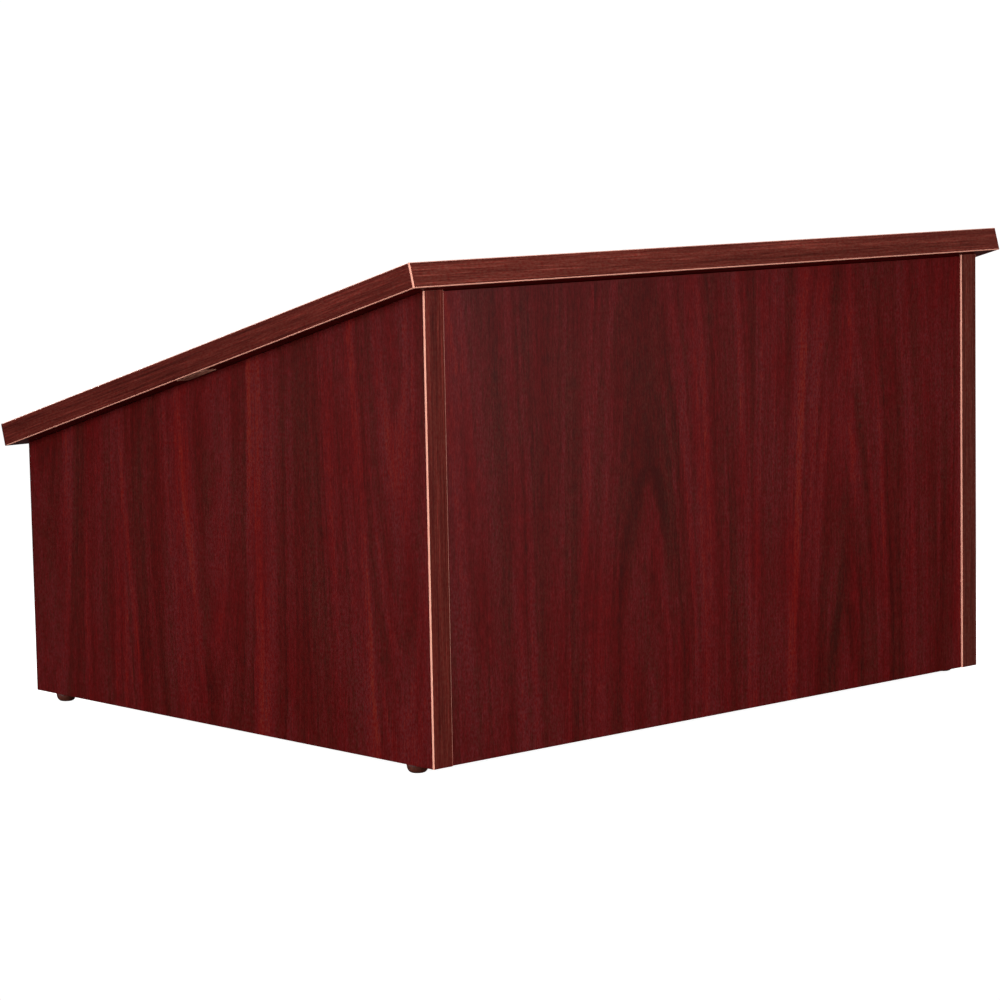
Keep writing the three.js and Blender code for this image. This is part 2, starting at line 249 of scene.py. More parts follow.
def mahogany_figure(shader, point, centre, lean, heart, seed, streaks=(), tips=()):
    """The printed grain: growth rings cut as cones, whose tips make cathedral figures along y.

    The cones taper by lean, and heart is the rings' radius at y = 0 on the figures' centre
    lines. Streaks are red lines, (x at STREAK_LEVEL, lean, half width, strength), or dark ones
    where the strength is negative. Tips are dark arches, (x, y, spread). Returns the tone
    from 0, dark brown, to 1, red, and the pore mask."""
    across, along, out = point
    wander = shader.noise(point, (6.0, 2.2, 1.0), shift=seed)

    def swayed_from(x):
        """Distance from the line at x, which sways with the grain."""
        straight = shader.minus(across, x + WANDER / 2)
        return shader.scale_add(wander, WANDER, straight)

    swayed = swayed_from(centre)
    from_tip = shader.math("PINGPONG", swayed, FIGURE_PITCH)
    depth = shader.scale_add(along, lean, heart)
    squared = shader.scale_add(from_tip, from_tip, shader.times(depth, depth))
    line = shader.noise((swayed, along, out), (800, 12, 1.0), 3.0, 0.65, shift=seed + 3)
    ring = shader.scale_add(line, RING_FRAY, shader.math("SQRT", squared))

    broad = shader.noise((ring, across, along), (70, 9.0, 1.6), 3.0, 0.6, shift=seed)
    streak = shader.noise((ring, across, along), (330, 30, 2.5), 3.0, 0.6, shift=seed + 7)
    late = shader.noise((ring, across, along), (190, 12, 1.5), 1.0, shift=seed + 9)
    fibre = shader.noise((swayed, along, out), (560, 110, 1.0), 2.0, 0.6, shift=seed + 4)
    tick = shader.noise((swayed, along, out), (1900, 95, 1.0), 1.0, shift=seed + 5)
    tone = shader.vary(shader.vary(0.47, broad, 1.45), streak, 0.6)
    tone = shader.minus(tone, shader.remap(late, 0.60, 0.74, 0.0, 0.12))
    tone = shader.math("ADD", tone, shader.remap(late, 0.38, 0.28, 0.0, 0.16))
    for x, slant, half_width, strength in streaks:
        sway = shader.scale_add(wander, WANDER, across)
        path = shader.scale_add(along, -slant, sway)
        start = x - STREAK_LEVEL * slant + WANDER / 2
        away = shader.absolute(shader.minus(path, start))
        reach = shader.times(shader.math("ADD", streak, line), half_width)
        bright = shader.remap(shader.math("DIVIDE", away, reach), 1.0, 0.0, 0.0, strength)
        tone = shader.scale_add(bright, broad, tone)
    for x, y, spread in tips:
        drop = shader.math("MAXIMUM", shader.minus(y, along), 0.0)
        leg = shader.times(shader.math("SQRT", drop), spread)
        from_middle = shader.absolute(swayed_from(x))
        gap = shader.absolute(shader.minus(from_middle, leg))
        above = shader.remap(along, y + TIP_RISE, y - TIP_BLUR)
        below = shader.remap(along, y - TIP_LEGS, y, 0.0, 0.75)
        dark = shader.times(shader.times(above, below), line)
        near = shader.remap(gap, TIP_BLUR, 0.0)
        tone = shader.minus(tone, shader.times(dark, near))
    tone = shader.vary(shader.vary(tone, fibre, 1.0), line, 0.5, clamp=True)
    pores = shader.remap(tick, 0.62, 0.72)
    return tone, pores


def laminate(
        name, centre=0.0, lean=0.08, heart=0.01, seed=0.0, specular=0.08, streaks=(), tips=()):
    """Printed mahogany melamine on both faces of a board, and bare chips at its edges."""
    shader = Shader(name)
    point = shader.grain_point()
    tone, pores = mahogany_figure(shader, point, centre, lean, heart, seed, streaks, tips)
    print_colour = shader.ramp(
        tone, (0.0, 56, 10, 5), (0.35, 76, 13, 9), (0.6, 89, 15, 17), (0.8, 99, 18, 17),
        (1.0, 109, 21, 14))
    print_colour = shader.mix(shader.times(pores, 0.35), print_colour, srgb(45, 10, 7))
    orange_peel = shader.noise(point, (950, 420, 900), 2.0, 0.6, shift=seed)
    warm = shader.remap(orange_peel, 0.3, 0.7, 0.91, 1.09)
    # Painted sheen: pale lifts green and blue in fine specks, as light caught by the finish's fine
    # relief would, and the noise below spreads it unevenly.
    pale = shader.remap(orange_peel, 0.3, 0.7, 0.15, 1.85)
    hue_and_sheen = shader.noise(point, (48, 7, 1.0), 4.0, 0.62, shift=seed + 13)
    hue_and_sheen = shader.scale_add(tone, 0.09, hue_and_sheen)
    pale = shader.times(pale, shader.remap(hue_and_sheen, 0.36, 0.72, 0.5, 1.5))
    print_colour = shader.mix(1.0, print_colour, shader.vector(warm, pale, pale), "MULTIPLY")

    chips, chip_height = particleboard(shader, point)
    from_middle = shader.absolute(point[2])
    wear = shader.noise(point, (160, 160, 300), 3.0, shift=seed + 11)
    print_back = BOARD / 2 - PRINT_DEPTH + PRINT_WEAR / 2
    wear_depth = shader.scale_add(wear, -PRINT_WEAR, print_back)
    printed = shader.remap(shader.minus(from_middle, wear_depth), 0.0, 0.03 * MM)
    colour = shader.mix(printed, chips, print_colour)

    print_roughness = shader.scale_add(orange_peel, 0.16, 0.36)
    smoother = shader.minus(print_roughness, CHIP_ROUGHNESS)
    roughness = shader.scale_add(printed, smoother, CHIP_ROUGHNESS)
    bare = shader.minus(1.0, printed)
    chip_relief = shader.times(bare, shader.times(chip_height, 4.0))
    pore_height = shader.scale_add(pores, -0.6, orange_peel)
    print_relief = shader.times(printed, pore_height)
    height = shader.math("ADD", print_relief, chip_relief)
    normal = shader.bump(height, 0.35, 0.06 * MM)
    return shader.surface(colour, roughness, normal, specular=specular)


PALE_CORE = ((236, 160, 138), (248, 178, 156))
DARK_CORE = ((62, 16, 12), (84, 26, 20))


def edge_band(name, seed, shade=1.0, core_colours=PALE_CORE, brown=1.0):
    """Plastic edge band: a printed face, and a core that shows where its arrises are trimmed.

    Shade makes the print lighter or darker, and brown makes it less red by lifting its green and
    blue. The lighter, paler print of the front bands is painted sheen, light that those faces
    reflect."""
    shader = Shader(name)
    point = shader.grain_point()
    broad = shader.noise(point, (150, 2.2, 1.0), shift=seed)
    streak = shader.noise(point, (700, 9, 1.0), 3.0, 0.6, shift=seed + 2)
    fine = shader.noise(point, (1500, 45, 1.0), shift=seed + 4)
    tone = shader.vary(shader.vary(0.5, broad, 1.2), streak, 1.8)
    tone = shader.vary(tone, fine, 1.3, clamp=True)
    stops = ((0.0, 64, 18, 13), (0.4, 84, 27, 21), (0.7, 96, 34, 27), (1.0, 118, 44, 36))
    face = shader.ramp(
        tone, *((place, *(value * shade for value in colour)) for place, *colour in stops))
    mottle = shader.noise(point, (900, 300, 900), 2.0, 0.6, shift=seed + 5)
    warm = shader.remap(mottle, 0.3, 0.7, 0.92, 1.08)
    # Painted sheen: pale lifts green and blue in fine specks, as light caught by the band's fine
    # relief would, and brown scales it.
    pale = shader.remap(mottle, 0.3, 0.7, 0.6 * brown, 1.4 * brown)
    face = shader.mix(1.0, face, shader.vector(warm, pale, pale), "MULTIPLY")
    core_noise = shader.noise(point, (900, 110, 900), shift=seed + 6)
    core = shader.ramp(core_noise, (0.3, *core_colours[0]), (0.7, *core_colours[1]))
    ragged = shader.noise(point, (500, 260, 500), 3.0, shift=seed + 8)
    edge_at = shader.times(ragged, -0.05 * MM)
    printed = shader.remap(shader.minus(point[2], edge_at), -0.01 * MM, 0.0)
    colour = shader.mix(printed, core, face)
    roughness = shader.scale_add(fine, 0.15, 0.40)
    normal = shader.bump(shader.scale_add(fine, 0.5, streak), 0.25, 0.04 * MM)
    return shader.surface(colour, roughness, normal, specular=0.04)


def stained_wood(name):
    """The book stop: stained solid wood under satin lacquer."""
    shader = Shader(name)
    point = shader.grain_point()
    tone, pores = mahogany_figure(
        shader, point, centre=0.04, lean=0.02, heart=0.02, seed=21.0)
    fibre = shader.noise(point, (900, 22, 900), 3.0, 0.6, shift=31.0)
    tone = shader.vary(tone, fibre, 1.6, clamp=True)
    colour = shader.ramp(tone, (0.0, 44, 8, 5), (0.5, 76, 14, 10), (1.0, 116, 26, 19))
    colour = shader.mix(shader.times(pores, 0.6), colour, srgb(34, 10, 8))
    roughness = shader.scale_add(tone, 0.12, 0.38)
    normal = shader.bump(shader.minus(tone, pores), 0.3, 0.05 * MM)
    return shader.surface(colour, roughness, normal, specular=0.1)


def moulded_plastic(name):
    """Brown plastic of the glides, scuffed where it meets the table."""
    shader = Shader(name)
    point = shader.object_point()
    mottle = shader.noise(point, (260, 260, 260), 3.0)
    scratch = shader.noise(point, (2600, 500, 900), 3.0, 0.65, 0.6)
    colour = shader.ramp(mottle, (0.3, 66, 28, 20), (0.7, 96, 46, 34))
    low_down = shader.remap(point[2], 1.4 * MM, 0.0)
    scuffs = shader.times(low_down, shader.remap(scratch, 0.45, 0.65))
    colour = shader.mix(scuffs, colour, srgb(142, 104, 82))
    clean = shader.scale_add(mottle, 0.15, 0.3)
    roughness = shader.scale_add(scuffs, 0.3, clean)
    normal = shader.bump(scratch, 0.2, 0.05 * MM)
    return shader.surface(colour, roughness, normal, specular=0.4)


def cast_zinc(name):
    """Die-cast zinc of the cam discs: dull grey with a fine pitted skin."""
    shader = Shader(name)
    point = shader.object_point()
    cloud = shader.noise(point, (240, 240, 240), 3.0)
    pits = shader.noise(point, (1900, 1900, 1900), 3.0, 0.6)
    colour = shader.ramp(cloud, (0.3, 150, 150, 152), (0.7, 188, 188, 186))
    roughness = shader.scale_add(pits, 0.25, 0.38)
    normal = shader.bump(pits, 0.3, 0.05 * MM)
    return shader.surface(colour, roughness, normal, metallic=1.0)


def plated_steel(name):
    """Bright zinc-plated steel with fine turning marks round z."""
    shader = Shader(name)
    point = shader.object_point()
    turning = shader.noise(point, (120, 120, 5200), 3.0, 0.6)
    cloud = shader.noise(point, (420, 420, 420))
    colour = shader.ramp(cloud, (0.3, 186, 184, 178), (0.7, 216, 216, 214))
    roughness = shader.scale_add(turning, 0.22, 0.2)
    normal = shader.bump(turning, 0.25, 0.03 * MM)
    return shader.surface(colour, roughness, normal, metallic=1.0)


def beech(name):
    """Dry beech of the dowels, with short dark flecks along z."""
    shader = Shader(name)
    point = shader.object_point()
    grain = shader.noise(point, (900, 900, 60), 3.0, 0.6)
    flecks = shader.remap(shader.noise(point, (2600, 2600, 420), 1.0), 0.6, 0.68)
    colour = shader.ramp(grain, (0.25, 176, 134, 90), (0.75, 222, 186, 140))
    colour = shader.mix(shader.times(flecks, 0.5), colour, srgb(130, 88, 54))
    normal = shader.bump(shader.minus(grain, flecks), 0.4, 0.08 * MM)
    return shader.surface(colour, 0.7, normal, specular=0.3)


def label_film(name):
    """A plain film label, slightly creased, whose colour carries painted shading along the creases
    and painted streaks of shine.
    """
    shader = Shader(name)
    point = shader.object_point()
    crease_and_shade = shader.noise(point, (60, 22, 60), 3.0)
    fibre = shader.noise(point, (900, 900, 900))
    shine = shader.noise(point, (700, 160, 700))
    # Painted shade and painted shine: the colour turns dark brown with the crease noise, as shade
    # in creases would, and pale along the shine streaks.
    shade = shader.vary(crease_and_shade, shine, 1.6)
    colour = shader.ramp(shade, (0.25, 110, 58, 44), (0.75, 238, 178, 150))
    normal = shader.bump(shader.scale_add(fibre, 0.2, crease_and_shade), 0.3, 0.1 * MM)
    roughness = shader.scale_add(fibre, 0.2, 0.35)
    return shader.surface(colour, roughness, normal, specular=0.4)


# ------------------------ mesh helpers


def linked(name, data):
    """A new object in the scene."""
    made = bpy.data.objects.new(name, data)
    bpy.context.scene.collection.objects.link(made)
    return made


def new_piece(name, mesh, replaced, world=None):
    """Puts a mesh in the scene as a piece that stands for one CAD node and rides on the body."""
    piece = linked(name, mesh)
    if world is not None:
        piece.matrix_world = world
    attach(piece, BODY)
    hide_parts(replaced)


def frame_matrix(x_axis, y_axis, z_axis, origin):
    made = Matrix((x_axis, y_axis, z_axis)).transposed().to_4x4()
    made.translation = origin
    return made


def rectangle(x_low, x_high, y_low, y_high):
    return [(x_low, y_low), (x_high, y_low), (x_high, y_high), (x_low, y_high)]


def prism(outline, low, high):
    """A bmesh prism: the outline's points are (x, y), and it runs from z = low to z = high."""
    made = bmesh.new()
    bottom = [made.verts.new((x, y, low)) for x, y in outline]
    top = [made.verts.new((x, y, high)) for x, y in outline]
    made.faces.new(list(reversed(bottom)))
    made.faces.new(top)
    for index in range(len(outline)):
        after = (index + 1) % len(outline)
        made.faces.new((bottom[index], bottom[after], top[after], top[index]))
    made.normal_update()
    return made


def rings(profile, sides, radius_at=None):
    """A closed solid round z from (radius, z) points. radius_at(radius, z, turn) may change
    the radius with the turn, 0 to 1, as for a thread or for flutes."""
    made = bmesh.new()
    loops = []
    for radius, z in profile:
        loop = []
        for step in range(sides):
            turn = step / sides
            reach = radius_at(radius, z, turn) if radius_at else radius
            angle = 2 * math.pi * turn
            loop.append(made.verts.new((reach * math.cos(angle), reach * math.sin(angle), z)))
        loops.append(loop)
    for lower, upper in zip(loops, loops[1:]):
        for step in range(sides):
            after = (step + 1) % sides
            made.faces.new((lower[step], lower[after], upper[after], upper[step]))
    made.faces.new(list(reversed(loops[0])))
    made.faces.new(loops[-1])
    made.normal_update()
    return made


def arc(centre_radius, centre_z, size, from_angle, to_angle, steps):
    """Points of a quarter or so of a circle in a (radius, z) profile, with angles in degrees."""
    points = []
    for step in range(steps + 1):
        angle = math.radians(from_angle + (to_angle - from_angle) * step / steps)
        points.append((centre_radius + size * math.cos(angle), centre_z + size * math.sin(angle)))
    return points


def bevel(made, edges, width, segments=2):
    """Rounds edges of a bmesh, over the given width on each side."""
    bmesh.ops.bevel(
        made, geom=edges, offset=width, segments=segments, profile=0.5,
        affect="EDGES", clamp_overlap=True)
    made.normal_update()


def to_mesh(made, name, smooth_under=None):
    """Turns a bmesh into a mesh. Edges under the angle smooth_under, in degrees, look smooth."""
    if smooth_under is not None:
        limit = math.radians(smooth_under)
        for face in made.faces:
            face.smooth = True
        for edge in made.edges:
            edge.smooth = len(edge.link_faces) == 2 and edge.calc_face_angle(0.0) < limit
    mesh = bpy.data.meshes.new(name)
    made.to_mesh(mesh)
    made.free()
    return mesh


def cut(mesh, groups):
    """The mesh with groups of cutters taken out of it. Cutters in one group don't overlap."""
    holder = linked("cut_holder", mesh)
    tools = []
    for group in groups:
        merged = bmesh.new()
        for cutter in group:
            piece = to_mesh(cutter, "cutter")
            merged.from_mesh(piece)
            bpy.data.meshes.remove(piece)
        tool = linked("cut_tool", to_mesh(merged, "cut_tool"))
        tools.append(tool)
        modifier = holder.modifiers.new("cut", "BOOLEAN")
        modifier.operation = "DIFFERENCE"
        modifier.solver = "EXACT"
        modifier.object = tool
    bpy.context.view_layer.update()
    evaluated = holder.evaluated_get(bpy.context.evaluated_depsgraph_get())
    made = bpy.data.meshes.new_from_object(evaluated)
    made.name = mesh.name
    bpy.data.objects.remove(holder)
    for tool in tools:
        bpy.data.objects.remove(tool)
    return made


def grained(mesh, world, material):
    """Stores the mesh's own coordinates for its grain, and moves it to its place."""
    grain = mesh.attributes.new("grain", "FLOAT_VECTOR", "POINT")
    for item, vertex in zip(grain.data, mesh.vertices):
        item.vector = vertex.co
    mesh.transform(world)
    mesh.materials.clear()
    mesh.materials.append(material)
    return mesh


# ------------------------ places

UP_SLOPE_NORMAL = Vector((0, math.sin(SLOPE), math.cos(SLOPE)))
DOWN_SLOPE = Vector((0, math.cos(SLOPE), -math.sin(SLOPE)))
BAND_LOW, BAND_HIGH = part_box("top_front_band")
TOP_HALF_WIDTH = BAND_HIGH.x
TOP_FRAME = frame_matrix(
    X, DOWN_SLOPE, UP_SLOPE_NORMAL,
    Vector((0, BAND_LOW.y, BAND_LOW.z + BAND * math.sin(SLOPE))))
BODY_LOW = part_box("side_left_front_band")[0]
BODY_FRONT = BODY_LOW.y
BODY_BOTTOM = BODY_LOW.z
BODY_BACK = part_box("side_left_back_band")[1].y
BODY_HALF_WIDTH = -BODY_LOW.x
INNER_HALF_WIDTH = BODY_HALF_WIDTH - BOARD
SIDE_MIDDLE = BODY_HALF_WIDTH - BOARD / 2
PANEL_FRONT = BODY_FRONT + BAND


def middle_of(node):
    low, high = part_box(node)
    return (low + high) / 2


def underside_z(y):
    """Height of the sloping top's underside over the line at y."""
    return TOP_FRAME.translation.z - (y - TOP_FRAME.translation.y) * math.tan(SLOPE)


# A joint's frame: z points from the board whose face is drilled into the edge of the other
# board, and x points out of the face that the cam disc is let into.


def cam_frame(name, disc_side, into_edge):
    depth = BOARD / 2 - CAM_DEPTH / 2
    origin = middle_of(f"cam_disc_{name}") - into_edge * CAM_REACH - disc_side * depth
    return frame_matrix(disc_side, into_edge.cross(disc_side), into_edge, origin)


def dowel_frame(name, disc_side, into_edge):
    shift = (DOWEL_IN_EDGE - DOWEL_IN_FACE) / 2
    origin = middle_of(f"dowel_{name}") - into_edge * shift
    return frame_matrix(disc_side, into_edge.cross(disc_side), into_edge, origin)


CAMS = []    # (name, frame, board drilled in its face, board drilled in its edge)
DOWELS = []
for side_name, side in SIDES.items():
    inward = -side * X
    upright = f"side_panel_{side_name}"
    for level in ("lower", "upper"):
        joint = f"front_{side_name}_{level}"
        CAMS.append((joint, cam_frame(joint, Y, inward), upright, "front_panel"))
        DOWELS.append((joint, dowel_frame(joint, Y, inward), upright, "front_panel"))
    for end in ("front", "back"):
        joint = f"shelf_{side_name}_{end}"
        CAMS.append((joint, cam_frame(joint, -Z, inward), upright, "storage_shelf"))
        joint = f"top_{side_name}_{end}"
        CAMS.append((joint, cam_frame(joint, inward, -UP_SLOPE_NORMAL), "reading_top", upright))
    joint = f"shelf_{side_name}"
    DOWELS.append((joint, dowel_frame(joint, -Z, inward), upright, "storage_shelf"))
    joint = f"top_{side_name}"
    DOWELS.append((joint, dowel_frame(joint, inward, -UP_SLOPE_NORMAL), "reading_top", upright))

STOP_MIDDLE = TOP_LENGTH - STOP_SETBACK - STOP_DEPTH / 2
SCREWS = [
    (name, TOP_FRAME @ Matrix.Translation((middle_of(name).x, STOP_MIDDLE, 0)))
    for name in (f"book_stop_screw_{number}" for number in (1, 2, 3))
]
SCREW_TIP = BOARD + 7 * MM
SCREW_SHANK = 1.9 * MM
SCREW_HEAD = 3.8 * MM
NAIL_RADIUS = 1.1 * MM
GLIDE_FLAT_RADIUS = 3.8 * MM
GLIDE_RIM = 1.3 * MM
DISC_PLACE = Matrix.Translation((0, 0, CAM_REACH)) @ Matrix.Rotation(math.pi / 2, 4, "Y")


def placed(made, place):
    bmesh.ops.transform(made, matrix=place, verts=made.verts)
    return made


def rod(radius, low, high, place, sides=32):
    return placed(rings([(radius, low), (radius, high)], sides), place)


def holes_in(board, world):
    """Cutters of a board's pockets and of its bores, in the board's own frame."""
    to_own = world.inverted()
    pockets, bores = [], []
    for _, place, face_board, edge_board in CAMS:
        own = to_own @ place
        if board == face_board:
            bores.append(rod(BOLT_THREAD_RADIUS + FIT, -BOLT_THREAD_LENGTH - FIT, MM, own))
        if board == edge_board:
            bores.append(rod(BOLT_COLLAR_RADIUS + FIT, -MM, CAM_REACH, own))
            low = BOARD / 2 - CAM_DEPTH - FIT
            pockets.append(rod(CAM_RADIUS + FIT, low, BOARD / 2 + MM, own @ DISC_PLACE, 64))
    for _, place, face_board, edge_board in DOWELS:
        own = to_own @ place
        if board == face_board:
            bores.append(rod(DOWEL_RADIUS + FIT, -DOWEL_IN_FACE - FIT, MM, own))
        if board == edge_board:
            bores.append(rod(DOWEL_RADIUS + FIT, -MM, DOWEL_IN_EDGE + FIT, own))
    if board == "reading_top":
        bores.extend(screw_bore(to_own @ place) for _, place in SCREWS)
    if board.startswith("side_panel"):
        for end in ("front", "back"):
            low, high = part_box(f"glide_nail_{board.removeprefix('side_panel_')}_{end}")
            place = to_own @ Matrix.Translation(((low.x + high.x) / 2, (low.y + high.y) / 2, 0))
            bores.append(rod(NAIL_RADIUS + FIT, BODY_BOTTOM - MM, high.z + FIT, place))
    return [group for group in (pockets, bores) if group]


def screw_bore(place):
    """The countersunk hole of a stop screw, up through the top and into the stop."""
    wide, narrow = SCREW_HEAD + FIT, SCREW_SHANK + FIT
    profile = [(wide, -MM), (wide, 0.7 * MM), (narrow, 3 * MM), (narrow, SCREW_TIP + FIT)]
    return placed(rings(profile, 32), place)


# ------------------------ boards and bands

BOARD_ARRIS = 0.12 * MM
BAND_ARRIS = 0.75 * MM


def board_piece(name, outline, world, material):
    """A board: its outline lies in its own x (across the grain) and y (along the grain)."""
    finish_board(name, prism(outline, -BOARD / 2, BOARD / 2), world, material)


def finish_board(name, made, world, material):
    """Eases a board's arrises, drills it and puts it in its place."""
    bevel(made, list(made.edges), BOARD_ARRIS)
    mesh = cut(to_mesh(made, name), holes_in(name, world))
    new_piece(f"{name}_board", grained(mesh, world, material), name)


def band_piece(name, width, length, world, material, ends_trimmed=False):
    """An edge band in its own frame: x across its width, y along it, and its printed face at
    z = 0. Its long arrises are trimmed round, and those of its ends where they are in sight."""
    made = prism(rectangle(-width / 2, width / 2, 0, length), -BAND, 0)
    arrises = [
        edge for edge in made.edges
        if all(abs(v.co.z) < 1e-9 for v in edge.verts)
        and (ends_trimmed or abs(edge.verts[0].co.x - edge.verts[1].co.x) < 1e-9)]
    bevel(made, arrises, BAND_ARRIS, 5)
    mesh = grained(to_mesh(made, name, 40), world, material)
    new_piece(f"{name}_strip", mesh, name)


def build_boards():
    front = laminate(
        "laminate_front", centre=-0.076, lean=0.12, heart=0.002, seed=2.0,
        streaks=[
            (-0.192, -0.04, 0.006, 0.4), (-0.138, 0.12, 0.007, 0.4), (0.080, 0.05, 0.009, 0.3),
            (0.142, -0.02, 0.006, 0.4), (0.115, 0.06, 0.009, -0.4)],
        tips=[(-0.075, 0.195, 0.085), (0.131, 0.075, 0.06)])
    left = laminate(
        "laminate_left", centre=0.005, lean=-0.12, heart=0.042, seed=5.0,
        streaks=[
            (-0.048, 0.0, 0.011, 0.5), (0.032, 0.10, 0.008, 0.35), (0.108, 0.12, 0.006, 0.4),
            (-0.167, 0.05, 0.007, 0.5), (0.160, 0.0, 0.006, 0.4), (0.012, 0.0, 0.016, -0.4)])
    right = laminate("laminate_right", centre=0.030, lean=0.09, heart=-0.01, seed=8.0)
    level = laminate("laminate_level", centre=0.050, lean=0.07, heart=0.01, seed=12.0)
    top = laminate("laminate_top", centre=-0.020, lean=0.06, heart=0.012, seed=16.0, specular=0.02)

    build_front_panel(front)

    back = BODY_BACK - BAND
    outline = [
        (PANEL_FRONT, BODY_BOTTOM),
        (back, BODY_BOTTOM),
        (back, underside_z(back) - FIT),
        (PANEL_FRONT, underside_z(PANEL_FRONT) - FIT),
    ]
    for side_name, material in (("left", left), ("right", right)):
        middle = Vector((SIDES[side_name] * SIDE_MIDDLE, 0, 0))
        board_piece(f"side_panel_{side_name}", outline, frame_matrix(Y, Z, X, middle), material)

    low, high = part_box("storage_shelf")
    outline = rectangle(low.y, high.y, -INNER_HALF_WIDTH, INNER_HALF_WIDTH)
    level_frame = frame_matrix(Y, -X, Z, Vector((0, 0, (low.z + high.z) / 2)))
    board_piece("storage_shelf", outline, level_frame, level)

    half = TOP_HALF_WIDTH - BAND_AND_GLUE
    outline = rectangle(BAND_AND_GLUE, TOP_LENGTH - BAND_AND_GLUE, -half, half)
    turned = TOP_FRAME @ frame_matrix(Y, -X, Z, Vector((0, 0, BOARD / 2)))
    board_piece("reading_top", outline, turned, top)


def build_front_panel(material):
    """The front panel's top edge is cut along the slope, so its two faces differ in height."""
    middle = PANEL_FRONT + BOARD / 2
    world = frame_matrix(X, Z, -Y, Vector((0, middle, 0)))
    outline = rectangle(-INNER_HALF_WIDTH, INNER_HALF_WIDTH, BODY_BOTTOM, underside_z(middle))
    made = prism(outline, -BOARD / 2, BOARD / 2)
    for vertex in made.verts:
        if vertex.co.y > BODY_BOTTOM + BOARD:
            vertex.co.y = underside_z(middle - vertex.co.z) - PANEL_TOP_GAP
    finish_board("front_panel", made, world, material)


def build_bands():
    for number, (side_name, side) in enumerate(SIDES.items()):
        ends = (
            # On the right front band the brown number is raised to paint a pale sheen on the
            # print.
            ("front", BODY_FRONT, -Y, 3.0, {"brown": 1.0 + 0.5 * number}),
            ("back", BODY_BACK, Y, 13.0, {"core_colours": DARK_CORE}),
        )
        for end, y, out, seed, look in ends:
            name = f"side_{side_name}_{end}_band"
            face = frame_matrix(
                Z.cross(out), Z, out, Vector((side * SIDE_MIDDLE, y, BODY_BOTTOM)))
            print_kind = edge_band(name + "_print", seed + number, **look)
            band_piece(name, BOARD, underside_z(y) - FIT - BODY_BOTTOM, face, print_kind)

    half = BOARD / 2
    width = 2 * TOP_HALF_WIDTH
    run = TOP_LENGTH - 2 * BAND_AND_GLUE
    # The top's front band is painted lighter and paler: painted sheen, light that this face
    # reflects.
    front_sheen_look = {"shade": 1.1, "brown": 1.4}
    back_look = {"brown": 1.05, "core_colours": DARK_CORE}
    end_look = {"brown": 1.05}
    top_bands = {
        "top_front_band": (width, Vector((-TOP_HALF_WIDTH, 0, half)), X, -Y, front_sheen_look),
        "top_back_band": (width, Vector((TOP_HALF_WIDTH, TOP_LENGTH, half)), -X, Y, back_look),
        "top_left_band": (run, Vector((-TOP_HALF_WIDTH, BAND_AND_GLUE, half)), Y, -X, end_look),
        "top_right_band": (run, Vector((TOP_HALF_WIDTH, BAND_AND_GLUE, half)), Y, X, end_look),
    }
    for number, (name, (length, start, along, out, look)) in enumerate(top_bands.items()):
        face = TOP_FRAME @ frame_matrix(along.cross(out), along, out, start)
        print_kind = edge_band(name + "_print", 23.0 + number, **look)
        band_piece(name, BOARD, length, face, print_kind, name == "top_front_band")

    low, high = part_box("shelf_back_band")
    face = frame_matrix(Z, X, Y, Vector((low.x, high.y, (low.z + high.z) / 2)))
    print_kind = edge_band("shelf_back_band_print", 33.0, core_colours=DARK_CORE)
    band_piece("shelf_back_band", BOARD, high.x - low.x, face, print_kind)


# ------------------------ fittings

CROSS_TAPER_ALONG = 0.55   # the foot of a cross recess's arm, in parts of its top
CROSS_TAPER_ACROSS = 0.7
THREAD_FLANK = 2.6         # how steeply a thread's crest falls away
GLIDE_TURN = 40            # radians per metre of x, so that left and right differ


def cross_cutters(arm, half_width, top, depth):
    """Two groups of one cutter each: a cross recess that narrows downwards from z = top."""
    groups = []
    for turn in (0, math.pi / 2):
        made = prism(rectangle(-arm, arm, -half_width, half_width), top - depth, top + MM)
        for vertex in made.verts:
            if vertex.co.z < top:
                vertex.co.x *= CROSS_TAPER_ALONG
                vertex.co.y *= CROSS_TAPER_ACROSS
        bmesh.ops.rotate(made, matrix=Matrix.Rotation(turn, 3, "Z"), verts=made.verts)
        groups.append([made])
    return groups


def thread(root, pitch, low, high):
    """A radius function of a screw thread between two heights, that fades out at its ends."""
    def radius_at(radius, z, turn):
        if not low <= z <= high:
            return radius
        fade = min(1.0, (z - low) / pitch, (high - z) / pitch)
        phase = (z / pitch - turn) % 1.0
        crest = max(0.0, 1.0 - abs(phase - 0.5) * THREAD_FLANK)
        return root + (radius - root) * crest * max(0.0, fade)
    return radius_at


def steps_between(radius, low, high, count):
    """Points of a profile at one radius, close enough together to carry a thread."""
    return [(radius, low + (high - low) * step / count) for step in range(count + 1)]


def plain_mesh(made, name, smooth_under, material):
    mesh = to_mesh(made, name, smooth_under)
    mesh.materials.append(material)
    return mesh


def cut_mesh(made, name, groups, material):
    """A mesh with recesses cut into it, and its smooth edges worked out afterwards."""
    finished = bmesh.new()
    finished.from_mesh(cut(to_mesh(made, name), groups))
    return plain_mesh(finished, name, 35, material)


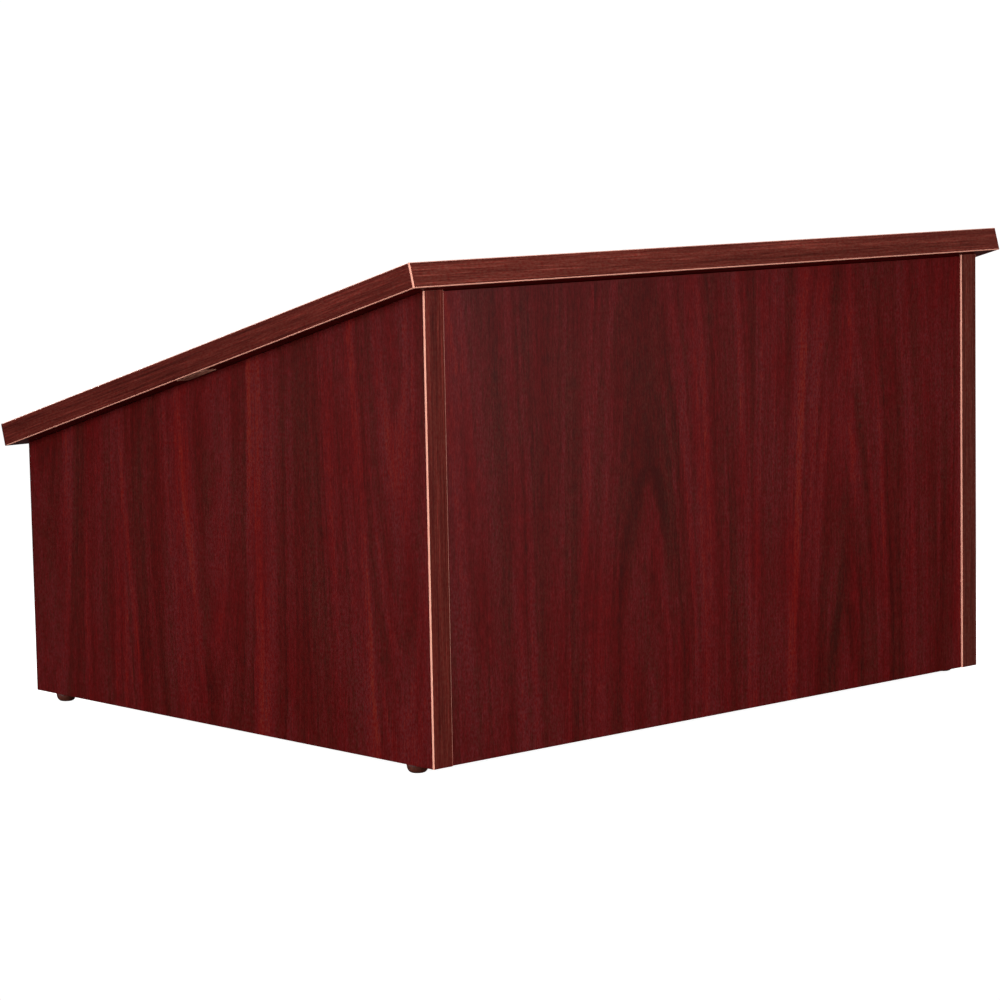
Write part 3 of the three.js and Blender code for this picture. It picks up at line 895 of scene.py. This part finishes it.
def cam_bolt_mesh(material):
    """Along z from the joint: a coarse thread, a collar, a shank, a neck and a ball-ended head."""
    low = -BOLT_THREAD_LENGTH
    thread_low = low + 1.2 * MM
    shank, neck, flange = 3.0 * MM, 1.9 * MM, 3.3 * MM
    ball = 1.2 * MM
    ball_centre = BOLT_HEAD_RADIUS - ball
    profile = [(0.7 * MM, low), (1.6 * MM, low + 0.8 * MM)]
    profile += steps_between(BOLT_THREAD_RADIUS, thread_low, 0.0, 42)
    profile += [(1.7 * MM, FIT * 0.9)]
    profile += [(flange, FIT), (BOLT_COLLAR_RADIUS, 0.6 * MM), (BOLT_COLLAR_RADIUS, 1.2 * MM)]
    profile += [(flange, 1.5 * MM), (shank, 1.6 * MM), (shank, 18.4 * MM)]
    profile += [(2.8 * MM, 19.0 * MM), (neck, 20.0 * MM), (neck, 21.6 * MM), (2.3 * MM, 22.0 * MM)]
    profile += arc(ball_centre, BOLT_LENGTH - 2 * ball, ball, -50, 0, 4)
    profile += arc(ball_centre, BOLT_LENGTH - ball, ball, 0, 80, 5)
    made = rings(profile, 28, thread(1.5 * MM, 2.6 * MM, thread_low, 0.0))
    return plain_mesh(made, "cam_bolt", 35, material)


def cam_disc_mesh(material):
    """Along z out of the board's face: a drum with a cross recess and an arrow."""
    face = BOARD / 2
    low = face - CAM_DEPTH
    rim = 0.35 * MM
    sunk = face - 0.25 * MM
    drum = CAM_RADIUS - 0.5 * MM
    profile = [(CAM_RADIUS - 0.9 * MM, low), (drum, low + 0.4 * MM)]
    profile += [(drum, face - 2.2 * MM), (CAM_RADIUS, face - 1.8 * MM)]
    profile += arc(CAM_RADIUS - rim, face - rim, rim, 0, 90, 4)
    profile += [(CAM_RADIUS - 1.3 * MM, face), (CAM_RADIUS - 1.5 * MM, sunk)]
    arrow_foot, arrow_tip, arrow_half = 4.9 * MM, 5.9 * MM, 1.0 * MM
    arrow = prism(
        [(-arrow_half, arrow_foot), (arrow_half, arrow_foot), (0, arrow_tip)],
        sunk - 0.3 * MM, face + MM)
    throat_radius = BOLT_HEAD_RADIUS + FIT
    throat = rod(
        throat_radius, CAM_REACH - CAM_RADIUS - MM, BOLT_LENGTH + FIT, DISC_PLACE.inverted())
    groups = [[throat], [arrow]] + cross_cutters(4.4 * MM, 0.95 * MM, sunk, 2.0 * MM)
    return cut_mesh(rings(profile, 72), "cam_disc", groups, material)


def dowel_mesh(material):
    """A fluted dowel along z, with chamfered ends."""
    flutes, flute_depth = 20, 0.035

    def fluted(radius, z, turn):
        return radius * (1.0 - flute_depth * (0.5 - 0.5 * math.cos(2 * math.pi * turn * flutes)))

    low, high = -DOWEL_IN_FACE, DOWEL_IN_EDGE
    shoulder, end = DOWEL_RADIUS - 0.3 * MM, DOWEL_RADIUS - 1.0 * MM
    profile = [(end, low), (shoulder, low + 0.6 * MM)]
    profile += [(DOWEL_RADIUS, low + 1.4 * MM), (DOWEL_RADIUS, high - 1.4 * MM)]
    profile += [(shoulder, high - 0.6 * MM), (end, high)]
    return plain_mesh(rings(profile, 120, fluted), "dowel", 40, material)


def screw_mesh(material):
    """Countersunk screw along z, with its head at z = 0.2 mm."""
    head = 0.2 * MM
    thread_low, thread_high = 6.5 * MM, SCREW_TIP - 2.5 * MM
    profile = [(SCREW_HEAD - 0.15 * MM, head), (SCREW_HEAD, 0.35 * MM), (SCREW_HEAD, 0.6 * MM)]
    profile += [(1.6 * MM, 2.8 * MM), (1.5 * MM, 6 * MM)]
    profile += steps_between(SCREW_SHANK, thread_low, thread_high, 66)
    profile += [(1.0 * MM, SCREW_TIP - 2.0 * MM), (0.15 * MM, SCREW_TIP)]
    made = rings(profile, 28, thread(1.25 * MM, 1.8 * MM, thread_low, thread_high))
    flip = Matrix.Rotation(math.pi, 4, "X")
    groups = cross_cutters(2.2 * MM, 0.5 * MM, -head, 1.4 * MM)
    for group in groups:
        for cutter in group:
            placed(cutter, flip)
    return cut_mesh(made, "stop_screw", groups, material)


def nail_mesh(low, high, material):
    """Ring-shank nail along z, with its head low down in the glide."""
    shank = 0.88 * MM
    pitch = 1.1 * MM
    profile = [(NAIL_RADIUS, low), (NAIL_RADIUS, low + 0.8 * MM), (0.85 * MM, low + 1.2 * MM)]
    z = low + 4.0 * MM
    while z + pitch < high - 3.0 * MM:
        profile += [(shank, z), (NAIL_RADIUS, z + 0.35 * MM), (shank, z + 0.9 * MM)]
        z += pitch
    profile += [(shank, high - 2.2 * MM), (0.08 * MM, high)]
    return plain_mesh(rings(profile, 24), "glide_nail", 30, material)


def glide_mesh(radius, height, nail_low, material):
    """A nail-on glide, with z = 0 on the table: a domed foot under a straight rim, a fine
    parting line and the socket of its nail."""
    flat, gate = GLIDE_FLAT_RADIUS, 0.9 * MM
    rim_low = height - GLIDE_RIM
    profile = [(gate, 0.12 * MM), (gate + 0.15 * MM, 0.0), (flat, 0.0)]
    steps = 14
    for step in range(1, steps + 1):
        angle = math.radians(90 * step / steps)
        reach = flat + (radius - 0.15 * MM - flat) * math.sin(angle)
        profile.append((reach, rim_low * (1 - math.cos(angle))))
    profile += [(radius, rim_low + 0.12 * MM), (radius, height - 0.3 * MM)]
    profile += [(radius - 0.1 * MM, height - 0.08 * MM), (radius - 0.3 * MM, height)]
    socket = NAIL_RADIUS + FIT
    profile += [(socket + 0.2 * MM, height), (socket, height - 0.2 * MM), (socket, nail_low - FIT)]
    return plain_mesh(rings(profile, 72), "glide", 35, material)


def build_fittings():
    steel = plated_steel("steel_plated")
    bolt = cam_bolt_mesh(steel)
    disc = cam_disc_mesh(cast_zinc("zinc_cast"))
    dowel = dowel_mesh(beech("beech_dry"))
    screw = screw_mesh(steel)
    plastic = moulded_plastic("plastic_brown")
    for name, place, _, _ in CAMS:
        new_piece(f"bolt_{name}", bolt, f"cam_bolt_{name}", place)
        new_piece(f"disc_{name}", disc, f"cam_disc_{name}", place @ DISC_PLACE)
    for name, place, _, _ in DOWELS:
        new_piece(f"peg_{name}", dowel, f"dowel_{name}", place)
    for name, place in SCREWS:
        new_piece(f"{name}_made", screw, name, place)
    low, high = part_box("glide_left_front")
    nail_low, nail_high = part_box("glide_nail_left_front")
    glide = glide_mesh((high.x - low.x) / 2, high.z, nail_low.z, plastic)
    nail = nail_mesh(nail_low.z, nail_high.z, steel)
    for side_name in SIDES:
        for end in ("front", "back"):
            node = f"glide_{side_name}_{end}"
            spot = middle_of(node)
            turned = Matrix.Rotation(spot.x * GLIDE_TURN, 4, "Z")
            place = Matrix.Translation((spot.x, spot.y, 0)) @ turned
            new_piece(f"{node}_foot", glide, node, place)
            new_piece(f"{node}_pin", nail, f"glide_nail_{side_name}_{end}", place)


def build_book_stop():
    """A moulding with two rounded upper edges and eased ends, its grain along x."""
    low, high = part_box("book_stop")
    half = (high.x - low.x) / 2
    base = BOARD + GLUE_LINE
    near, far = STOP_MIDDLE - STOP_DEPTH / 2, STOP_MIDDLE + STOP_DEPTH / 2
    top = base + STOP_HEIGHT - STOP_ROUND
    outline = [(near, base), (far, base)]
    outline += arc(far - STOP_ROUND, top, STOP_ROUND, 0, 90, 12)
    outline += arc(near + STOP_ROUND, top, STOP_ROUND, 90, 180, 12)
    made = prism(outline, -half, half)
    ends = [edge for edge in made.edges if abs(edge.verts[0].co.z - edge.verts[1].co.z) < 1e-9]
    bevel(made, ends, 0.8 * MM, 4)
    drawn = frame_matrix(Y, Z, X, Vector())
    to_drawn = (TOP_FRAME @ drawn).inverted()
    bores = [screw_bore(to_drawn @ place) for _, place in SCREWS]
    finished = bmesh.new()
    finished.from_mesh(cut(to_mesh(made, "book_stop"), [bores]))
    turn = frame_matrix(Y, -X, Z, Vector())
    mesh = to_mesh(placed(finished, turn.inverted() @ drawn), "book_stop", 30)
    grained(mesh, TOP_FRAME @ turn, stained_wood("mahogany_solid"))
    new_piece("book_stop_moulding", mesh, "book_stop")


def build_label():
    """A plain film label with round corners, on the underside of the top's left overhang."""
    half_width, half_length = LABEL_WIDTH / 2, LABEL_LENGTH / 2
    outline = []
    for x_side, y_side, start in ((1, 1, 0), (-1, 1, 90), (-1, -1, 180), (1, -1, 270)):
        outline += arc(
            x_side * (half_width - LABEL_ROUND), y_side * (half_length - LABEL_ROUND),
            LABEL_ROUND, start, start + 90, 6)
    mesh = plain_mesh(
        prism(outline, 0, LABEL_THICKNESS), "blank_label", None, label_film("label_plain"))
    middle = Vector((
        -TOP_HALF_WIDTH + LABEL_INSET + half_width, LABEL_START + half_length,
        -GLUE_LINE - LABEL_THICKNESS))
    place = TOP_FRAME @ Matrix.Translation(middle)
    new_piece("blank_label_film", mesh, "blank_label", place)


# ------------------------ stage, lights and camera

WHITE = (1.0, 1.0, 1.0, 1.0)
SEEN_WHITE = 1.05          # what the camera sees of the far floor and of the world: just white
WORLD_LIGHT = 0.235        # what the world gives to the pieces
FLOOR_HALF = 30.0
FLOOR_FADE = (0.40, 0.95)  # where the floor fades to white, from the middle of the lectern


def build_stage():
    """A pale floor that fades to white away from the lectern, and is clear from below.

    The camera sees it pale, and everything else gets a dull floor's light from it."""
    outline = rectangle(-FLOOR_HALF, FLOOR_HALF, -FLOOR_HALF, FLOOR_HALF)
    sheet = bmesh.new()
    sheet.faces.new([sheet.verts.new((x, y, 0.0)) for x, y in outline])
    mesh = to_mesh(sheet, "floor")
    floor = linked("floor", mesh)
    shader = Shader("floor_paint")
    seen = shader.node("ShaderNodeLightPath").outputs["Is Camera Ray"]
    dull = shader.node("ShaderNodeBsdfDiffuse", {"Color": (0.12, 0.11, 0.11, 1.0)}).outputs[0]
    pale = shader.node("ShaderNodeBsdfDiffuse", {"Color": (0.5, 0.5, 0.5, 1.0)}).outputs[0]
    glow = shader.node("ShaderNodeEmission", {"Color": WHITE, "Strength": 0.95}).outputs[0]
    near = shader.node("ShaderNodeAddShader", {0: pale, 1: glow}).outputs[0]
    white = {"Color": WHITE, "Strength": SEEN_WHITE}
    far = shader.node("ShaderNodeEmission", white).outputs[0]
    x, y, _ = shader.object_point()
    away = shader.math("SQRT", shader.scale_add(x, x, shader.times(y, y)))
    fade = shader.remap(away, *FLOOR_FADE)
    paint = shader.node("ShaderNodeMixShader", {0: fade, 1: near, 2: far}).outputs[0]
    chosen = shader.node("ShaderNodeMixShader", {0: seen, 1: dull, 2: paint}).outputs[0]
    below = shader.node("ShaderNodeNewGeometry").outputs["Backfacing"]
    clear = shader.node("ShaderNodeBsdfTransparent").outputs[0]
    chosen = shader.node("ShaderNodeMixShader", {0: below, 1: chosen, 2: clear}).outputs[0]
    shader.node("ShaderNodeOutputMaterial", {"Surface": chosen})
    mesh.materials.append(shader.material)


def build_world():
    """Soft light from all round, which the camera sees as white."""
    world = bpy.data.worlds.new("studio")
    bpy.context.scene.world = world
    world.use_nodes = True
    tree = world.node_tree
    tree.nodes.clear()
    ray = tree.nodes.new("ShaderNodeLightPath")
    choose = tree.nodes.new("ShaderNodeMixShader")
    tree.links.new(ray.outputs["Is Camera Ray"], choose.inputs[0])
    for index, strength in ((1, WORLD_LIGHT), (2, SEEN_WHITE)):
        background = tree.nodes.new("ShaderNodeBackground")
        background.inputs[0].default_value = WHITE
        background.inputs[1].default_value = strength
        tree.links.new(background.outputs[0], choose.inputs[index])
    output = tree.nodes.new("ShaderNodeOutputWorld")
    tree.links.new(choose.outputs[0], output.inputs[0])


def direction(azimuth, elevation):
    """The unit vector at angles in degrees. Azimuth 0 is the audience's side, and 90 the right."""
    turn, lift = math.radians(azimuth), math.radians(elevation)
    return Vector((
        math.sin(turn) * math.cos(lift), -math.cos(turn) * math.cos(lift), math.sin(lift)))


def soft_light(name, azimuth, elevation, distance, size, power, target):
    """A square area light that looks at the target from an angle round the object."""
    away = direction(azimuth, elevation)
    light = bpy.data.lights.new(name, "AREA")
    light.size = size
    light.energy = power
    lamp = linked(name, light)
    lamp.location = target + away * distance
    lamp.rotation_mode = "QUATERNION"
    lamp.rotation_quaternion = (-away).to_track_quat("-Z", "Y")


def build_lights():
    middle = Vector((-0.1, -0.1, 0.17))
    corner = Vector((-0.28, -0.23, 0.20))
    soft_light("key_left", -80, 10, 2.4, 0.8, 28, middle)
    soft_light("key_front", -14, 10, 1.5, 0.6, 12.2, corner)
    soft_light("overhead", -20, 75, 3.0, 2.0, 11, middle)
    soft_light("back_fill", 160, 25, 3.0, 1.6, 60, middle)
    soft_light("back_low", 166, 5, 2.6, 1.0, 45, middle)
    soft_light("sheen_front", 32, 4, 1.4, 0.5, 4.6, corner)
    soft_light("sheen_left", -124, 4, 1.4, 0.5, 2.3, corner)


# The camera that was fitted to the corners of the body and the top
CAMERA_AT = Vector((-1.7415, -1.9165, 0.4506))
CAMERA_AZIMUTH = -42.157
CAMERA_ELEVATION = 6.702
CAMERA_ROLL = math.radians(-1.08)
CAMERA_LENS = 120.4
CAMERA_SENSOR = 36.0


def build_camera():
    back = direction(CAMERA_AZIMUTH, CAMERA_ELEVATION)
    level_right = (-back).cross(Z).normalized()
    level_up = back.cross(level_right)
    right = level_right * math.cos(CAMERA_ROLL) + level_up * math.sin(CAMERA_ROLL)
    up = back.cross(right)
    data = bpy.data.cameras.new("camera")
    data.lens = CAMERA_LENS
    data.sensor_width = CAMERA_SENSOR
    camera = linked("camera", data)
    camera.matrix_world = frame_matrix(right, up, back, CAMERA_AT)
    bpy.context.scene.camera = camera


build_camera()
build_boards()
build_bands()
build_fittings()
build_book_stop()
build_label()
build_stage()
build_world()
build_lights()
bpy.context.scene.view_settings.view_transform = "Standard"
